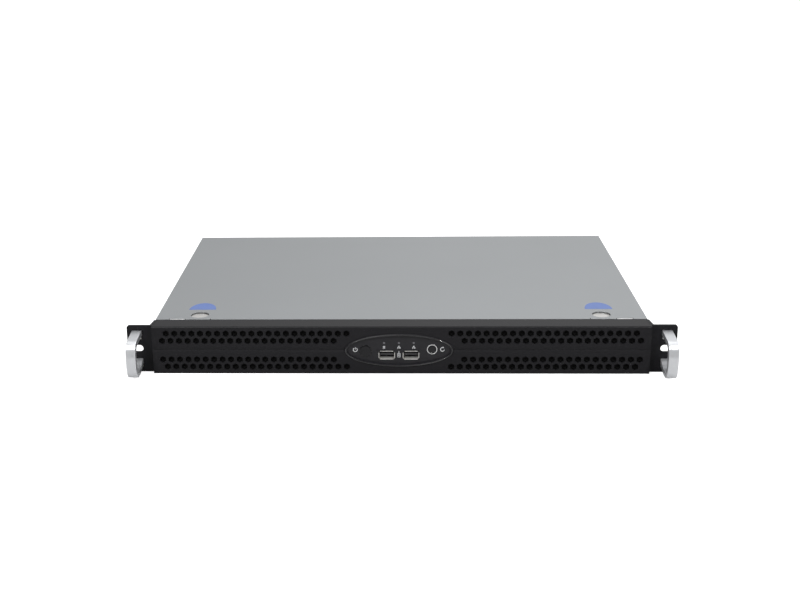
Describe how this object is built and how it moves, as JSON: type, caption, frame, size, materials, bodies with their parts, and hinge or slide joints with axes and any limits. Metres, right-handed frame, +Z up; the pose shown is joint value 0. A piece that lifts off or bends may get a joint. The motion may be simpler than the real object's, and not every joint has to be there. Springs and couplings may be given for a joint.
{
  "type": "rack server",
  "caption": "Slim rack server: sliding steel cover, black moulded bezel with honeycomb grille and oval control panel, rack ears with bowed pull handles.",
  "frame": {"origin": "middle of the bounding box in X and Y, at the underside of the case", "axes": "+X to the right seen from the front, +Y from the front to the back, +Z up"},
  "size_m": [0.4826, 0.3332, 0.0438],
  "materials": {
    "cover_steel": "satin zinc-plated sheet",
    "tray_steel": "satin zinc-plated sheet",
    "bezel_black": "fine texture, black",
    "panel_black": "fine texture, black",
    "button_black": "gloss black",
    "button_grey": "matte grey",
    "ear_paint": "black powder coat",
    "handle_metal": "satin anodised",
    "screw_metal": "zinc plated",
    "brass_post": "plain",
    "spring_steel": "plain",
    "circuit_board": "solder mask green",
    "port_shell": "bright plated",
    "white_plastic": "plain",
    "black_plastic": "plain",
    "lens_plastic": "translucent",
    "sink_metal": "plain extruded",
    "drive_metal": "cast and stamped",
    "cable_black": "plain",
    "cable_red": "plain",
    "cable_grey": "plain"
  },
  "bodies": {
    "chassis": {"chassis_base": "tray_steel", "front_bezel": "bezel_black", "control_panel": "panel_black", "led_lenses": "lens_plastic", "front_usb_shells": "port_shell", "front_usb_tongues": "black_plastic", "front_io_board": "circuit_board", "button_switches": "black_plastic", "ear_left": "ear_paint", "ear_right": "ear_paint", "handle_left": "handle_metal", "handle_right": "handle_metal", "release_bracket_left": "tray_steel", "release_bracket_right": "tray_steel", "release_spring_left": "spring_steel", "release_spring_right": "spring_steel", "motherboard": "circuit_board", "board_standoffs": "brass_post", "cpu_package": "black_plastic", "heatsink": "sink_metal", "chipset_heatsink": "sink_metal", "memory_sockets": "black_plastic", "memory_modules": "circuit_board", "io_shield": "tray_steel", "rear_lan_ports": "port_shell", "rear_usb_ports": "port_shell", "rear_video_port": "port_shell", "riser_card": "circuit_board", "slot_cover": "tray_steel", "fan_bracket": "tray_steel", "psu_case": "tray_steel", "psu_fan_frame": "black_plastic", "psu_inlet": "black_plastic", "psu_board": "circuit_board", "hard_drive": "drive_metal", "drive_bracket": "tray_steel", "power_cable": "cable_black", "data_cable": "cable_red", "panel_cable": "cable_grey", "fan_frame_1": "black_plastic", "fan_frame_2": "black_plastic", "fan_frame_3": "black_plastic"},
    "cover": {"top_cover": "cover_steel"},
    "power_button_body": {"power_button": "button_black"},
    "reset_button_body": {"reset_button": "button_grey"},
    "release_left": {"release_button_left": "screw_metal"},
    "release_right": {"release_button_right": "screw_metal"},
    "psu_rotor": {"psu_fan_rotor": "black_plastic"},
    "rotor_1": {"fan_rotor_1": "black_plastic"},
    "rotor_2": {"fan_rotor_2": "black_plastic"},
    "rotor_3": {"fan_rotor_3": "black_plastic"},
    "latch_1": {"memory_latch_1": "white_plastic"},
    "latch_2": {"memory_latch_2": "white_plastic"},
    "latch_3": {"memory_latch_3": "white_plastic"},
    "latch_4": {"memory_latch_4": "white_plastic"}
  },
  "joints": [
    {"name": "cover_slide", "type": "slide", "parent": "chassis", "child": "cover", "axis": [0, 1, 0], "range_m": [0, 0.3]},
    {"name": "power_press", "type": "slide", "parent": "chassis", "child": "power_button_body", "axis": [0, 1, 0], "range_m": [0, 0.0008], "stiffness_N_per_m": 400},
    {"name": "reset_press", "type": "slide", "parent": "chassis", "child": "reset_button_body", "axis": [0, 1, 0], "range_m": [0, 0.0008], "stiffness_N_per_m": 400},
    {"name": "release_press_left", "type": "slide", "parent": "chassis", "child": "release_left", "axis": [0, 0, -1], "range_m": [0, 0.002], "stiffness_N_per_m": 600, "deforming": ["release_spring_left"]},
    {"name": "release_press_right", "type": "slide", "parent": "chassis", "child": "release_right", "axis": [0, 0, -1], "range_m": [0, 0.002], "stiffness_N_per_m": 600, "deforming": ["release_spring_right"]},
    {"name": "latch_swing_1", "type": "hinge", "parent": "chassis", "child": "latch_1", "pos_m": [0.07, -0.0039, 0.01255], "axis": [1, 0, 0], "range_deg": [0, 35]},
    {"name": "latch_swing_2", "type": "hinge", "parent": "chassis", "child": "latch_2", "pos_m": [0.07, 0.1355, 0.01255], "axis": [-1, 0, 0], "range_deg": [0, 35]},
    {"name": "latch_swing_3", "type": "hinge", "parent": "chassis", "child": "latch_3", "pos_m": [0.08, -0.0039, 0.01255], "axis": [1, 0, 0], "range_deg": [0, 35]},
    {"name": "latch_swing_4", "type": "hinge", "parent": "chassis", "child": "latch_4", "pos_m": [0.08, 0.1355, 0.01255], "axis": [-1, 0, 0], "range_deg": [0, 35]},
    {"name": "fan_spin_1", "type": "hinge", "parent": "chassis", "child": "rotor_1", "pos_m": [-0.023, -0.0552, 0.0213], "axis": [0, 1, 0], "continuous": true},
    {"name": "fan_spin_2", "type": "hinge", "parent": "chassis", "child": "rotor_2", "pos_m": [0.019, -0.0552, 0.0213], "axis": [0, 1, 0], "continuous": true},
    {"name": "fan_spin_3", "type": "hinge", "parent": "chassis", "child": "rotor_3", "pos_m": [0.061, -0.0552, 0.0213], "axis": [0, 1, 0], "continuous": true},
    {"name": "psu_fan_spin", "type": "hinge", "parent": "chassis", "child": "psu_rotor", "pos_m": [-0.1912, 0.139, 0.0206], "axis": [0, 1, 0], "continuous": true}
  ]
}
